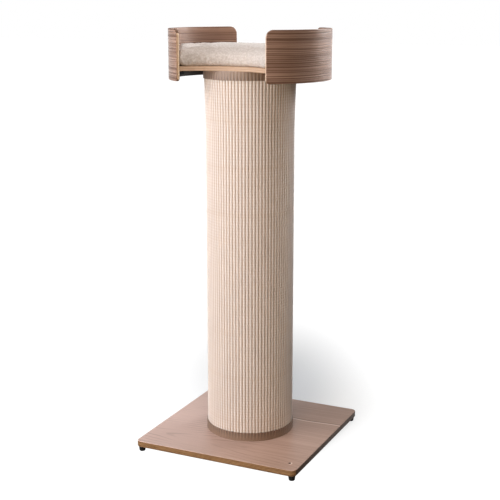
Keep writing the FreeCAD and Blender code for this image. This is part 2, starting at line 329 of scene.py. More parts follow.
scene.world = bpy.data.worlds.new("studio")
room = Paint(scene.world)
direction = room.node("TexCoord", out="Generated")
backward = room.node("SeparateXYZ", None, {0: direction}, 1)
back = step(room, backward, BACKDROP_START, BACKDROP_FULL)
upward = step(room, room.node("SeparateXYZ", None, {0: direction}, 2), 0.0, 1.0)
fill = FILL_SIDE + upward * (FILL_TOP - FILL_SIDE)
mirrored = FILL_SIDE + back * (1 - FILL_SIDE)
seen = ray(room, "Camera") + ray(room, "Transmission")
strength = fill + seen * (1 - fill) + ray(room, "Glossy") * (mirrored - fill)
background = room.tree.nodes["Background"]
room.feed(background.inputs["Color"], mix(room, seen + ray(room, "Glossy"), FILL_COLOUR, WHITE))
room.feed(background.inputs["Strength"], strength)
print("World fill from the side", FILL_SIDE, "and from above", FILL_TOP)

# %% [markdown]
# ## Floor
# The floor is pale. One white plane could do, but it would grey off towards a horizon. So to the
# camera it glows: not at all in the middle of an oval behind the tower, where the soft shadow lies,
# and more and more towards its rim, until the floor is as white as the room. The glow rises faster
# in front of the tower. To other rays the floor is darker, which keeps its light off the undersides.

# %% Floor
FLOOR_SIZE = 60.0
SHADOW_MIDDLE = (0.08, 0.35)
SHADOW_REACH = (0.33, 0.84)
GLOW_START = 0.0
GLOW_FULL = 1.35
FRONT_HASTE = 1.7
GLOW_STRENGTH = 1.1
MIRROR_FADE = 0.3
FLOOR_DIM = (0.22, 0.215, 0.21, 1.0)
FLOOR_PALE = (0.91, 0.95, 1.0, 1.0)

bpy.ops.mesh.primitive_plane_add(size=FLOOR_SIZE, location=(0, 0, 0))
floor = bpy.context.object
floor.name = "floor"
pale = new_paint("floor_pale", roughness=0.9, specular_ior_level=0.1)
x, y = place_of(pale)[:2]
mirrored = ray(pale, "Glossy") * step(pale, y, -MIRROR_FADE, MIRROR_FADE)
seen = ray(pale, "Camera") + ray(pale, "Transmission") + mirrored
pale_shader = pale.tree.nodes["Principled BSDF"]
pale.feed(pale_shader.inputs["Base Color"], mix(pale, seen, FLOOR_DIM, FLOOR_PALE))
rightward = Vector((math.cos(turn[2]), math.sin(turn[2])))
aside = (x * rightward.x + y * rightward.y - SHADOW_MIDDLE[0]) / SHADOW_REACH[0]
behind = (y * rightward.x - x * rightward.y - SHADOW_MIDDLE[1]) / SHADOW_REACH[1]
behind = behind.math("MAXIMUM", behind, behind * -FRONT_HASTE)
far = step(pale, (aside * aside + behind * behind) ** 0.5, GLOW_START, GLOW_FULL)
glow = pale.node("Emission", None, {"Color": WHITE, "Strength": GLOW_STRENGTH})
share = seen * far
lit = Signal(pale, pale_shader.outputs[0])
surface = pale.node("MixShader", None, {0: share, 1: lit, 2: glow})
pale.feed(pale.tree.nodes["Material Output"].inputs["Surface"], surface)
floor.data.materials.append(pale.owner)
print("Floor", FLOOR_SIZE, "m wide")

# %% [markdown]
# ## Bent plywood walls
# The walls are plywood, bent in a mould, with a dark veneer on both faces whose grain runs along the
# bend. Its pale streaks take more lacquer than the dark ones, so they shine where the wall is seen at
# a slant. A flat wood texture would have to be wrapped round; here the veneer is worked out from the
# angle round the column and the height, so its streaks follow the curve. Where a point lies between
# the two faces it is on an edge: the upright ends show pale raw layers, and the long top and bottom
# rims are darker. Below the board, the inner face is painted almost black as shade, without gloss.

# %% Wall veneer
VENEER_SKIN = 0.0008
RIM_TOP_REACH = 0.013
RIM_BOTTOM_REACH = 0.006
INNER_PLY = 0.0042
EDGE_FADE = 0.001
WALL_DARK = tint(108, 80, 66)
WALL_PALE = tint(176, 142, 124)
WALL_BROAD = tint(118, 88, 73)
WALL_PORE = tint(58, 41, 31)
SKIRT_PAINTED_SHADE = tint(24, 15, 9)
RAW_PALE = tint(250, 228, 204)
RAW_DARK = tint(200, 160, 124)
RIM_DARK = tint(104, 78, 62)
RIM_PALE = tint(140, 110, 92)

wall_low, wall_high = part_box("right_wall")
board_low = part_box("platform_board")[0]
wall_outer = wall_high.x
wall_inner = max(math.hypot(v.co.x, v.co.y) for v in nodes["platform_board"].data.vertices)
print("Wall thickness", round((wall_outer - wall_inner) * 1000, 1), "mm")


def streaky_wood(paint, along, across, seed):
    """Veneer figure from places along and across the grain: broad tone, fine lines and pores."""
    sway = noise(paint, point(paint, along * 4.0, across * 7.0, seed), detail=2.0)
    level = across + (sway - 0.5) * 0.008
    broad = noise(paint, point(paint, along * 1.6, level * 55.0, seed), detail=2.0)
    lines = noise(paint, point(paint, along * 1.1, level * 300.0, seed), detail=3.0, roughness=0.6)
    pores = noise(paint, point(paint, along * 14.0, level * 1100.0, seed), detail=1.0)
    return broad, step(paint, lines, 0.34, 0.66), step(paint, pores, 0.60, 0.74)


def wall_finish():
    paint = new_paint("wall_veneer", specular_ior_level=0.15, coat_roughness=0.24)
    x, y, z = place_of(paint)
    radius = (x * x + y * y) ** 0.5
    angle = turn_round(paint, abs(x), y)
    side = paint.node("Math", {"operation": "SIGN"}, {0: x})
    broad, lines, pores = streaky_wood(paint, angle * wall_outer, z, side * 3.7 + radius * 40.0)
    veneer = mix(paint, lines, WALL_DARK, WALL_PALE)
    veneer = mix(paint, step(paint, broad, 0.4, 0.7) * 0.35, veneer, WALL_BROAD)
    veneer = mix(paint, pores * 0.35, veneer, WALL_PORE)

    inner_face = 1 - step(paint, radius, wall_inner + EDGE_FADE, wall_inner + 2 * EDGE_FADE)
    # Painted shade: below the board the inner face is painted almost black, and loses its gloss.
    painted_shade_skirt = inner_face * (1 - step(paint, z, board_low.z, board_low.z + 2 * EDGE_FADE))
    veneer = mix(paint, painted_shade_skirt * 0.95, veneer, SKIRT_PAINTED_SHADE)

    layers = step(paint, radius, wall_inner + INNER_PLY, wall_inner + INNER_PLY + EDGE_FADE)
    fibres = noise(paint, point(paint, x * 300.0, y * 300.0, z * 40.0), detail=2.0)
    raw = mix(paint, layers * 0.7 + fibres * 0.25, RAW_PALE, RAW_DARK)
    # The long top and bottom rims are given a darker tone.
    rim_tone = mix(paint, fibres, RIM_DARK, RIM_PALE)
    inside = step(paint, radius, wall_inner + VENEER_SKIN, wall_inner + 2 * VENEER_SKIN)
    outside = step(paint, radius, wall_outer - 2 * VENEER_SKIN, wall_outer - VENEER_SKIN)
    edge = inside * (1 - outside)
    rim_top = wall_high.z - RIM_TOP_REACH
    rim_bottom = wall_low.z + RIM_BOTTOM_REACH
    top = step(paint, z, rim_top, rim_top + 4 * EDGE_FADE)
    bottom = 1 - step(paint, z, rim_bottom - 2 * EDGE_FADE, rim_bottom)
    colour = mix(paint, edge, veneer, mix(paint, top + bottom, raw, rim_tone))
    roughness = 0.33 - lines * 0.08 + pores * 0.10 + edge * 0.3
    relief = lines * 0.7 - pores * 0.3
    # The coat's gloss follows the pale lines. It is taken off the edges and off the painted shade below
    # the board.
    gloss = lines * lines * 0.55 * (1 - edge) * (1 - painted_shade_skirt)
    return wear(paint, colour, roughness, bump(paint, relief, 0.0005, 0.5), gloss)


paint_nodes(wall_finish(), "left_wall", "right_wall")

# %% [markdown]
# ## Base plate
# The base is one flat board, so its veneer is cut across the growth rings and shows long arches. A
# sliced log gives them: the distance of a point from the heart of the log, less a little for each
# step along the board, is turned into rings, and the rings become faint dark lines. One wavy line
# stands out on the right, as a flaw in real veneer does. A coat of lacquer lies on the two faces
# only. The edges are raw plies: warm and streaky along the grain, and darker on the two sides where
# the fibres end, where painted shade makes them nearly black. The toy hole is painted dark inside as
# shade, with a painted highlight on the right half of its rim.

# %% Base veneer
BASE_SKIN = 0.0014
BASE_PLY = 0.0036
RING_GAP = 0.013
HEART_Y = -0.165
HEART_DEPTH = 0.035
HEART_SLOPE = 0.11
FLAW_Y = 0.103
FLAW_START = 0.06
FLAW_FADE = 0.04
FLAW_WAVE = 0.19
FLAW_SWING = 0.006
FLAW_CORE = 0.0008
FLAW_WIDTH = 0.0035
SKIN_FADE = 0.0003
FOOT_LINE = (0.001, 0.005)
END_DEPTH = (0.0012, 0.0004)
TOY_HOLE = (0.217, -0.206)
HOLE_RIM = 0.0065
HOLE_RIM_FADE = 0.0015
BORE_WALL = 0.0036
BORE_FADE = 0.0004
BASE_DARK = tint(148, 118, 103)
BASE_MID = tint(182, 150, 134)
BASE_PAINTED_LIGHT = tint(208, 180, 171)
BASE_RING = tint(116, 89, 76)
BASE_PORE = tint(116, 88, 75)
FLAW_DARK = tint(96, 72, 60)
FLAW_PALE = tint(222, 198, 186)
HOLE_PAINTED_HIGHLIGHT = tint(228, 204, 190)
HOLE_PAINTED_SHADE = tint(34, 21, 16)
PLY_WARM = tint(172, 132, 93)
PLY_DARK = tint(80, 53, 32)
PLY_END_AND_SHADE = tint(60, 36, 21)

base_low, base_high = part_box("base_plate")
print("Base", round((base_high.x - base_low.x) * 1000), "mm square")


def base_finish():
    paint = new_paint("base_veneer", specular_ior_level=0.1, coat_roughness=0.42)
    x, y, z = place_of(paint)
    sway = noise(paint, point(paint, x * 4.0, y * 9.0, 0.0), detail=3.0)
    reach = y - HEART_Y + (sway - 0.5) * 0.03
    rings = (reach * reach + HEART_DEPTH ** 2) ** 0.5 - x * HEART_SLOPE
    arches = step(paint, wave(paint, rings, RING_GAP), 0.8, 1.0)
    broad, lines, pores = streaky_wood(paint, x, y, 0.4)
    veneer = mix(paint, lines * 0.32 + broad * 0.6, BASE_DARK, BASE_MID)
    # Painted light: the veneer is painted paler towards the left, where the lamps fall on it more.
    veneer = mix(paint, step(paint, x, 0.2, -0.25) * 0.8, veneer, BASE_PAINTED_LIGHT)
    patchy = noise(paint, point(paint, x * 6.0, y * 11.0, 2.0), detail=2.0)
    veneer = mix(paint, arches * step(paint, patchy, 0.42, 0.62) * 0.38, veneer, BASE_RING)
    veneer = mix(paint, pores * 0.2, veneer, BASE_PORE)
    flaw_line = y - FLAW_Y - wave(paint, x, FLAW_WAVE) * FLAW_SWING
    along_flaw = step(paint, x, FLAW_START, FLAW_START + FLAW_FADE)
    dark_flaw = 1 - step(paint, abs(flaw_line), FLAW_CORE, FLAW_WIDTH)
    pale_flaw = 1 - step(paint, abs(flaw_line + FLAW_SWING), FLAW_CORE, FLAW_WIDTH)
    veneer = mix(paint, dark_flaw * along_flaw * 0.7, veneer, FLAW_DARK)
    veneer = mix(paint, pale_flaw * along_flaw * 0.9, veneer, FLAW_PALE)

    hole_x = x - TOY_HOLE[0]
    hole_y = y - TOY_HOLE[1]
    from_hole = (hole_x * hole_x + hole_y * hole_y) ** 0.5
    # Painted highlight: a pale arc on the right half of the hole's rim.
    hole_highlight = 1 - step(paint, from_hole, HOLE_RIM, HOLE_RIM + HOLE_RIM_FADE)
    right_half = step(paint, hole_x, 0.0, 2 * HOLE_RIM_FADE)
    veneer = mix(paint, hole_highlight * right_half * 0.8, veneer, HOLE_PAINTED_HIGHLIGHT)
    # Painted shade: the inside of the toy hole is painted almost black.
    bore_shade = 1 - step(paint, from_hole, BORE_WALL, BORE_WALL + BORE_FADE)

    layers = wave(paint, z, BASE_PLY)
    fibres = noise(paint, point(paint, x * 26.0, y * 26.0, z * 420.0), detail=3.0)
    grain = step(paint, layers * 0.4 + fibres * 0.6, 0.28, 0.68)
    foot_line = 1 - step(paint, z, base_low.z + FOOT_LINE[0], base_low.z + FOOT_LINE[1])
    raw = mix(paint, grain * 0.7 + foot_line * 0.3, PLY_WARM, PLY_DARK)
    # End grain is darker, and painted shade makes the two end sides nearly black.
    end_grain_and_shade = step(paint, abs(x), base_high.x - END_DEPTH[0], base_high.x - END_DEPTH[1])
    raw = mix(paint, end_grain_and_shade * 0.85, raw, PLY_END_AND_SHADE)
    upper_skin = base_high.z - BASE_SKIN
    lower_skin = base_low.z + BASE_SKIN
    over = step(paint, z, upper_skin, upper_skin + SKIN_FADE)
    under = 1 - step(paint, z, lower_skin - SKIN_FADE, lower_skin)
    colour = mix(paint, over + under, raw, veneer)
    colour = mix(paint, bore_shade * 0.9, colour, HOLE_PAINTED_SHADE)
    roughness = 0.46 - lines * 0.08 + pores * 0.12
    relief = lines * 0.4 - pores * 0.4 - arches * 0.3
    lacquer = (over + under) * 0.5
    return wear(paint, colour, roughness, bump(paint, relief, 0.0005, 0.35), lacquer)


paint_nodes(base_finish(), "base_plate")

# %% [markdown]
# ## Bed board and end discs
# The bed board and the two discs inside the column are plain birch plywood. Its edge is the light
# line under the cushion: thin layers, alternately along and across the grain, with a quiet face. A
# ripple in the height gives the layers, so they run level round the scooped edges without a seam.

# %% Birch plywood
BIRCH_PLY = 0.0048
FACE_SKIN = 0.0006
BIRCH_EDGE_PALE = tint(204, 173, 148)
BIRCH_EDGE_DARK = tint(152, 118, 92)
BIRCH_FACE_DARK = tint(186, 150, 118)
BIRCH_FACE_PALE = tint(218, 186, 156)


def birch_finish(name, low, high):
    paint = new_paint(name, specular_ior_level=0.4)
    x, y, z = place_of(paint)
    layers = wave(paint, z - low, BIRCH_PLY)
    fibres = noise(paint, point(paint, x * 60.0, y * 60.0, z * 700.0), detail=3.0)
    edge = mix(paint, layers * 0.5 + fibres * 0.35, BIRCH_EDGE_PALE, BIRCH_EDGE_DARK)
    broad, lines, pores = streaky_wood(paint, x, y, 7.3)
    face = mix(paint, broad * 0.5 + lines * 0.5, BIRCH_FACE_DARK, BIRCH_FACE_PALE)
    over = step(paint, z, high - FACE_SKIN, high - FACE_SKIN / 2)
    under = 1 - step(paint, z, low + FACE_SKIN / 2, low + FACE_SKIN)
    colour = mix(paint, over + under, edge, face)
    relief = fibres * 0.5 - pores * 0.2
    return wear(paint, colour, 0.5 + fibres * 0.2, bump(paint, relief, 0.0004, 0.5))


for name in ("platform_board", "bottom_disc", "top_disc"):
    low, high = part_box(name)
    paint_nodes(birch_finish(name + "_birch", low.z, high.z), name)

# %% [markdown]
# ## Sisal mat
# The mat is woven: thick cords run up the column side by side, and a thin weft pinches each of them
# into a row of knots. One knot is shaped from a small grid, an Array stacks it into one cord, and a
# second Array turns the cord round the column. That is how the real mat is built, and every knot
# stays the same few faces. The crest of the cord and the groove beside it are marked on the grid
# before it is copied, so that the finish can paint shade into the grooves.

# %% One knot of the mat
CORDS = 84
KNOT_ROWS = 132
GROOVE_DEPTH = 0.0028
PINCH_DEPTH = 0.0007
SAME_PLACE = 1e-4
# across the cord in cord widths, depth in groove depths
CORD_PROFILE = ((-0.5, 1.0), (-0.36, 0.42), (0.0, 0.0), (0.36, 0.42), (0.5, 1.0))

mat_points = [v.co for v in nodes["sisal_sleeve"].data.vertices]
mat_levels = sorted({round(co.z, 4) for co in mat_points})
mat_bottom, spread_start, spread_end, mat_top = mat_levels
foot_ring = [math.hypot(co.x, co.y) for co in mat_points if co.z < mat_bottom + 10 * SAME_PLACE]
mat_inner, mat_crest = min(foot_ring), max(foot_ring)
spread = max(math.hypot(co.x, co.y) for co in mat_points) - mat_crest
knot_height = (mat_top - mat_bottom) / KNOT_ROWS
print("Mat from", mat_bottom, "to", mat_top, "m, radius", round(mat_crest, 4))
print("Knots", CORDS * KNOT_ROWS)


def make_active(piece):
    """Select one piece, and nothing else, for the operators that follow."""
    bpy.ops.object.select_all(action="DESELECT")
    bpy.context.view_layer.objects.active = piece
    piece.select_set(True)


def select_where(mesh, wanted):
    """In edit mode, select only the vertices for which a test holds."""
    bpy.ops.mesh.select_all(action="DESELECT")
    bpy.ops.object.mode_set(mode="OBJECT")
    for vertex in mesh.vertices:
        vertex.select = wanted(vertex.co)
    bpy.ops.object.mode_set(mode="EDIT")


def add_grid(name, columns, rows):
    bpy.ops.mesh.primitive_grid_add(x_subdivisions=columns, y_subdivisions=rows, size=1.0)
    made = bpy.context.object
    made.name = name
    bpy.ops.object.mode_set(mode="EDIT")
    bpy.ops.mesh.select_mode(type="VERT")
    return made


mat = add_grid("sisal_mat", len(CORD_PROFILE) - 1, 2)
half_step = math.pi / CORDS
for column, (across, depth) in enumerate(CORD_PROFILE):
    grid_x = -0.5 + column / (len(CORD_PROFILE) - 1)
    for row in range(3):
        grid_y = -0.5 + row / 2
        pinch = 0.0 if row == 1 else PINCH_DEPTH * (1 - depth)
        radius = mat_crest - depth * GROOVE_DEPTH - pinch
        angle = 2 * half_step * across
        start = Vector((grid_x, grid_y, 0))
        level_z = mat_bottom + row * knot_height / 2
        end = Vector((radius * math.sin(angle), -radius * math.cos(angle), level_z))
        select_where(mat.data, lambda co, start=start: (co - start).length < SAME_PLACE)
        bpy.ops.transform.translate(value=end - start)
bpy.ops.object.mode_set(mode="OBJECT")

groove = mat.data.attributes.new("groove", "FLOAT", "POINT")
for vertex in mat.data.vertices:
    below_crest = mat_crest - math.hypot(vertex.co.x, vertex.co.y)
    groove.data[vertex.index].value = min(1.0, below_crest / GROOVE_DEPTH)
print("Knot faces", len(mat.data.polygons))

# %% [markdown]
# The real mat flares a little where it meets the bed. A Lattice could bend the whole mat, but it is
# easier while there is only one cord: an Array stacks the knots, and each row above the start of the
# flare is scaled away from the axis.

# %% Stack the knots into a cord, and spread the cord below the bed
WELD = 2e-5


def array(piece, count, offset=None, pivot=None, closed=False):
    """Copy a piece in a row, or round a pivot, and weld the copies together."""
    row = piece.modifiers.new("array", "ARRAY")
    row.count = count
    row.use_relative_offset = False
    row.use_constant_offset = offset is not None
    row.use_object_offset = pivot is not None
    if offset is not None:
        row.constant_offset_displace = offset
    row.offset_object = pivot
    row.use_merge_vertices = True
    row.use_merge_vertices_cap = closed
    row.merge_threshold = WELD
    bpy.ops.object.modifier_apply(modifier=row.name)


array(mat, KNOT_ROWS, offset=(0, 0, knot_height))
bpy.ops.object.mode_set(mode="EDIT")
row_levels = [mat_bottom + i * knot_height / 2 for i in range(2 * KNOT_ROWS + 1)]
for level_z in row_levels:
    if level_z <= spread_start:
        continue
    growth = spread * min(1.0, (level_z - spread_start) / (spread_end - spread_start))
    scale = (mat_crest + growth) / mat_crest
    select_where(mat.data, lambda co, level_z=level_z: abs(co.z - level_z) < SAME_PLACE)
    bpy.ops.transform.resize(value=(scale, scale, 1), center_override=(0, 0, level_z))
bpy.ops.object.mode_set(mode="OBJECT")
print("One cord has", len(mat.data.polygons), "faces")

# %% [markdown]
# A second Array turns the cord round the column by the turn of an empty, and welds each copy to the
# next. Its two open ends are then extruded, rounded into a circle and drawn in to the tube, and a
# bridge between the two circles closes the mat on its inside.

# %% Turn the cord round the column and close the mat's ends
SMOOTH_ANGLE = 75.0

bpy.ops.object.empty_add(location=(0, 0, 0), rotation=(0, 0, 2 * half_step))
pivot = bpy.context.object
make_active(mat)
array(mat, CORDS, pivot=pivot, closed=True)
bpy.data.objects.remove(pivot)

bpy.ops.object.mode_set(mode="EDIT")
for end_z in (mat_bottom, mat_top):
    select_where(mat.data, lambda co, end_z=end_z: abs(co.z - end_z) < SAME_PLACE)
    bpy.ops.mesh.extrude_region_move()
    bpy.ops.transform.tosphere(value=1.0)
    bpy.ops.object.mode_set(mode="OBJECT")
    ring_radius = max(math.hypot(v.co.x, v.co.y) for v in mat.data.vertices if v.select)
    bpy.ops.object.mode_set(mode="EDIT")
    shrink = mat_inner / ring_radius
    bpy.ops.transform.resize(value=(shrink, shrink, 1), center_override=(0, 0, end_z))
select_where(mat.data, lambda co: math.hypot(co.x, co.y) < mat_inner + 2 * SAME_PLACE)
bpy.ops.mesh.bridge_edge_loops()
bpy.ops.mesh.select_all(action="SELECT")
bpy.ops.mesh.normals_make_consistent(inside=False)
bpy.ops.object.mode_set(mode="OBJECT")
bpy.ops.object.shade_smooth_by_angle(angle=math.radians(SMOOTH_ANGLE))
print("Mat faces", len(mat.data.polygons), "lowest radius",
      round(min(math.hypot(v.co.x, v.co.y) for v in mat.data.vertices), 4))

# %% [markdown]
# Sisal is a pale dry leaf fibre. Its crests are bleached and worn, and the grooves are painted a
# darker warm straw, as shade. The mark made on the first knot tells crest from groove, which a plain
# noise could not, and stretched noises along the cords give the yarns and the loose fibres.

# %% Sisal finish
CREST_DULL = tint(221, 207, 198)
CREST_PALE = tint(241, 236, 233)
CREST_WORN = tint(240, 229, 220)
CREST_STRAW = tint(206, 182, 160)
GROOVE_PAINTED_SHADE = tint(182, 148, 122)


def sisal_finish():
    paint = new_paint("sisal", specular_ior_level=0.2, diffuse_roughness=0.6)
    x, y, z = place_of(paint)
    depth = paint.node("Attribute", {"attribute_name": "groove"}, out="Fac")
    straw = noise(paint, point(paint, x * 900.0, y * 900.0, z * 240.0), detail=3.0, roughness=0.6)
    yarns = noise(paint, point(paint, x * 160.0, y * 160.0, z * 26.0), detail=2.0)
    worn = noise(paint, point(paint, x * 14.0, y * 14.0, z * 5.0), detail=2.0)
    bands = noise(paint, point(paint, 0.0, 0.0, z * 38.0), detail=2.0)
    crest = mix(paint, yarns * 0.2 + straw * 0.4 + 0.18, CREST_DULL, CREST_PALE)
    crest = mix(paint, step(paint, worn, 0.35, 0.75) * 0.25, crest, CREST_WORN)
    crest = mix(paint, step(paint, bands, 0.5, 0.8) * 0.2, crest, CREST_STRAW)
    # Painted shade: the grooves are darkened by their depth.
    shade = step(paint, depth, 0.12, 0.95)
    colour = mix(paint, shade * 0.8, crest, GROOVE_PAINTED_SHADE)
    return wear(paint, colour, 0.85, bump(paint, straw, 0.0006, 0.5))


mat.data.materials.append(sisal_finish())
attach(mat, "tower")
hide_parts("sisal_sleeve")

# %% [markdown]
# ## Tape round the mat's ends
# A strip of woven tape hides the cut ends of the mat, top and bottom. It is pulled so tight that the
# cords show through it, most of all near the mat. They could be modelled, but they are so flat that
# a painted shade and a bump at each gap do it. The tape's own weave is a fine twill, far smaller.

# %% Binding tape
TWILL = 0.0016
TAPE_DARK = tint(122, 95, 76)
TAPE_PALE = tint(168, 138, 118)
TAPE_GAP_SHADE = tint(62, 45, 34)

mat_middle = (mat_bottom + mat_top) / 2
tape_start = mat_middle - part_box("bottom_binding")[1][2]
tape_end = mat_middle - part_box("bottom_binding")[0][2]
print("Tape from", round(tape_start, 3), "to", round(tape_end, 3), "m from the mat's middle")


def tape_finish():
    paint = new_paint("binding_tape", specular_ior_level=0.9, sheen_weight=0.1, sheen_roughness=0.45)
    x, y, z = place_of(paint)
    angle = turn_round(paint, x, y)
    along = angle * mat_crest
    twill = wave(paint, along + z, TWILL) * wave(paint, z, TWILL / 2)
    fuzz = noise(paint, point(paint, x * 500.0, y * 500.0, z * 500.0), detail=2.0)
    colour = mix(paint, twill * 0.6 + fuzz * 0.4, TAPE_DARK, TAPE_PALE)
    cords = wave(paint, angle + 0.5 * half_step, 2 * half_step)
    tight = step(paint, abs(z - mat_middle), tape_end, tape_start)
    # Painted shade: the gaps between the cords are darkened, most of all near the mat.
    colour = mix(paint, (1 - cords) * tight * 0.5, colour, TAPE_GAP_SHADE)
    relief = cords * tight * 4.0 + twill + fuzz * 0.5
    return wear(paint, colour, 0.46 + fuzz * 0.12, bump(paint, relief, 0.0003, 0.4))


paint_nodes(tape_finish(), "bottom_binding", "top_binding")

# %% [markdown]
# ## Small hidden hardware
# Rubber feet, a card tube and zinc-plated screws hardly show, but someone who turns the tower over
# sees them. Rubber is nearly black with a fine grain, card has a wound seam, and zinc has cloudy
# patches of dull and bright metal. The wall brackets have a black coat, so they vanish under the bed.
# One finish with two colours makes both kinds of zinc.

# %% Rubber, zinc and card
CARD_WIND = 0.11
CARD_DARK = tint(158, 128, 98)
CARD_PALE = tint(192, 162, 130)
CARD_SEAM = tint(110, 86, 64)
RUBBER_DARK = tint(22, 21, 20)
RUBBER_SCUFF = tint(46, 44, 42)
ZINC_DULL = tint(130, 130, 132)
ZINC_BRIGHT = tint(196, 196, 198)
BLACK_DULL = tint(14, 12, 10)
BLACK_BRIGHT = tint(28, 25, 22)


def rubber_finish():
    paint = new_paint("foot_rubber", specular_ior_level=0.4)
    x, y, z = place_of(paint)
    grain = noise(paint, point(paint, x * 900.0, y * 900.0, z * 900.0), detail=2.0)
    scuff = noise(paint, point(paint, x * 120.0, y * 120.0, z * 60.0), detail=2.0)
    colour = mix(paint, step(paint, scuff, 0.5, 0.8), RUBBER_DARK, RUBBER_SCUFF)
    return wear(paint, colour, 0.55 + grain * 0.25, bump(paint, grain, 0.0003, 0.5))


def zinc_finish(name, dull, bright_tint, metal):
    paint = new_paint(name, metallic=metal, specular_ior_level=0.1)
    x, y, z = place_of(paint)
    place = point(paint, x * 240.0, y * 240.0, z * 240.0)
    patches = paint.node("TexVoronoi", {"feature": "F1"}, {"Vector": place, "Scale": 1.0}, "Color")
    bright = paint.node("SeparateColor", None, {0: patches})
    scratches = noise(paint, point(paint, x * 2200.0, y * 300.0, z * 300.0), detail=1.0)
    colour = mix(paint, bright * 0.6 + scratches * 0.3, dull, bright_tint)
    return wear(paint, colour, 0.42 + bright * 0.2, bump(paint, scratches, 0.0001, 0.3))


def card_finish():
    paint = new_paint("card_tube")
    x, y, z = place_of(paint)
    angle = turn_round(paint, x, y)
    wind = paint.node("Math", {"operation": "FRACT"}, {0: z / CARD_WIND + angle / (2 * math.pi)})
    seam = 1 - step(paint, wind, 0.0, 0.02)
    pulp = noise(paint, point(paint, x * 260.0, y * 260.0, z * 90.0), detail=3.0)
    colour = mix(paint, pulp, CARD_DARK, CARD_PALE)
    colour = mix(paint, seam * 0.7, colour, CARD_SEAM)
    return wear(paint, colour, 0.85, bump(paint, pulp - seam, 0.0003, 0.5))


feet = [name for name in nodes if name.startswith("foot_") and name != "foot_screws"]
paint_nodes(rubber_finish(), *feet)
paint_nodes(zinc_finish("zinc_steel", ZINC_DULL, ZINC_BRIGHT, 0.9),
            "foot_screws", "base_bolts", "base_inserts", "platform_bolts", "platform_inserts")
paint_nodes(zinc_finish("black_zinc", BLACK_DULL, BLACK_BRIGHT, 0.1),
            "wall_brackets", "bracket_screws")
paint_nodes(card_finish(), "column_tube")

# %% [markdown]
# ## Cushion
# The cushion is a foam slab in a soft cover, cut to the board's hourglass shape and laid loose in the
# bed. Drawing its swell by hand looks stiff, so it starts as a copy of the CAD form. The copy's
# points are merged, the hollow inside it is deleted, and it is shrunk a little to leave room to
# swell. A voxel remesh then gives it small even faces, which cloth needs.

# %% Copy the cushion's outside
CUSHION_VOXEL = 0.0045
CUSHION_SHRINK = 0.99
CUSHION_SWELL = 0.006
CUSHION_PRESSURE = 4.0
CLOTH_FRAMES = 20
CLOTH_QUALITY = 5
CLOTH_MASS = 0.3
WALL_CLEARANCE = 0.0012
BOARD_CLEARANCE = 0.0004

cushion_low, cushion_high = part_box("cushion_cover")
cushion_middle = (cushion_low + cushion_high) / 2
cushion = nodes["cushion_cover"].copy()
cushion.data = nodes["cushion_cover"].data.copy()
cushion.name = "boucle_cushion"
for key_name in list(cushion.keys()):
    del cushion[key_name]
cushion.parent = None
scene.collection.objects.link(cushion)
make_active(cushion)
bpy.ops.object.mode_set(mode="EDIT")
bpy.ops.mesh.select_all(action="SELECT")
bpy.ops.mesh.customdata_custom_splitnormals_clear()
bpy.ops.mesh.remove_doubles(threshold=1e-5)
bpy.ops.mesh.select_all(action="DESELECT")
bpy.ops.object.mode_set(mode="OBJECT")
top_vertex = max(cushion.data.vertices, key=lambda v: v.co.z)
top_vertex.select = True
bpy.ops.object.mode_set(mode="EDIT")
bpy.ops.mesh.select_linked()
bpy.ops.mesh.select_all(action="INVERT")
bpy.ops.mesh.delete(type="VERT")
bpy.ops.mesh.select_all(action="SELECT")
bpy.ops.transform.resize(value=(CUSHION_SHRINK, CUSHION_SHRINK, 1.0), center_override=cushion_middle)
bpy.ops.object.mode_set(mode="OBJECT")
cushion.data.remesh_voxel_size = CUSHION_VOXEL
bpy.ops.object.voxel_remesh()
print("Cushion remeshed to", len(cushion.data.polygons), "faces")

# %% [markdown]
# A stuffed cover is a bag under pressure. Cloth with pressure and no gravity swells just as it does,
# so the crown and the pulled-in sides come by themselves. How far a point may move is capped, and the
# result is applied, so nothing has to be simulated later.

# %% Blow the cushion up


def inflate(piece, pressure, frames):
    """Swell a closed piece with cloth pressure and keep the result as its mesh."""
    cloth = piece.modifiers.new("stuffing", "CLOTH")
    cloth.settings.quality = CLOTH_QUALITY
    cloth.settings.mass = CLOTH_MASS
    cloth.settings.use_pressure = True
    cloth.settings.uniform_pressure_force = pressure
    cloth.settings.effector_weights.gravity = 0
    cloth.point_cache.frame_start = 1
    cloth.point_cache.frame_end = frames
    for moment in range(1, frames + 1):
        scene.frame_set(moment)
    bpy.ops.object.modifier_apply(modifier=cloth.name)
    scene.frame_set(1)


before = [v.co.copy() for v in cushion.data.vertices]
inflate(cushion, CUSHION_PRESSURE, CLOTH_FRAMES)
moves = []
for vertex, rest in zip(cushion.data.vertices, before):
    move = vertex.co - rest
    moves.append(move.length)
    if move.length > CUSHION_SWELL:
        vertex.co = rest + move.normalized() * CUSHION_SWELL
print("Cushion swelled by up to", round(max(moves) * 1000, 1), "mm, kept to", CUSHION_SWELL * 1000)

# %% [markdown]
# In the bed the cushion is squeezed: its corners press into the ends of the walls, its rim is pushed
# up along them, more on the left, and a soft crease runs along that rim. Someone would pat it into
# place, and so does this step: single points are pulled with proportional editing, which takes their
# neighbours along softly.

# %% Pull the cushion out to the walls
CORNER_ANGLE = 40.0
CORNER_PULL = 0.013
CORNER_RISE = 0.007
CORNER_REACH = 0.045
CORNER_LEVELS = ((0.2, 0.0), (0.7, CORNER_RISE))
RIM_LEVEL = 0.75
RIM_RISE = {-1: 0.010, 1: 0.006}
RIM_REACH = 0.065
RIM_ANGLES = (74.0, 84.0, 94.0, 104.0, 114.0)
CREASE_ANGLES = (58.0, 66.0, 74.0, 82.0, 90.0, 98.0, 106.0)
CREASE_RADIUS = 0.158
CREASE_DROP = 0.0058
CREASE_REACH = 0.05


